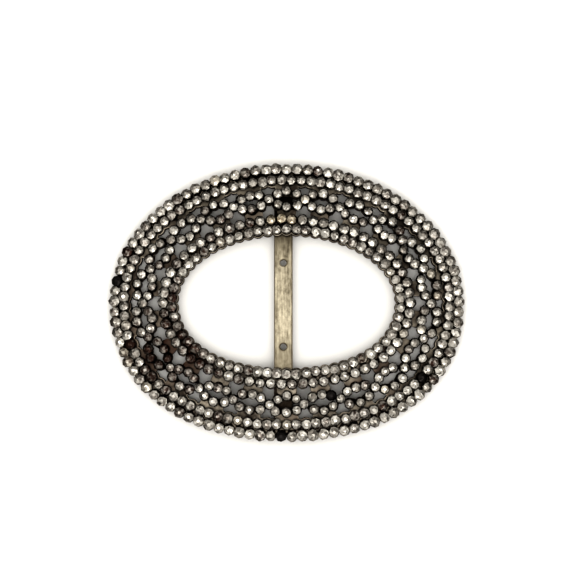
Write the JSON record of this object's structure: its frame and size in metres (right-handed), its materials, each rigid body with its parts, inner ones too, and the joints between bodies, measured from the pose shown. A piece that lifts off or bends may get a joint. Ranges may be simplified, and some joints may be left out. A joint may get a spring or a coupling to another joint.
{
  "type": "ornamental buckle",
  "caption": "Oval, slightly domed buckle of cut steel: a pierced plate set with rows of small faceted beads and a looped chain of them, with a plain centre bar behind its open middle.",
  "frame": {"origin": "middle of the oval at the height of the table that the buckle lies on", "axes": "+X along the oval's long axis, +Y to the top of the picture, +Z out of the beaded face"},
  "size_m": [0.0696, 0.0542, 0.0045],
  "materials": {
    "plate_steel": "tarnished",
    "bar_metal": "drawn lengthwise, slightly yellowed",
    "bead_steel": "polished facets, dulled with age"
  },
  "bodies": {
    "root": {"back_plate": "plate_steel", "centre_bar": "bar_metal", "outer_edge_beads": "bead_steel", "outer_band_beads": "bead_steel", "chain_beads": "bead_steel", "inner_band_beads": "bead_steel", "opening_edge_beads": "bead_steel"}
  },
  "joints": []
}
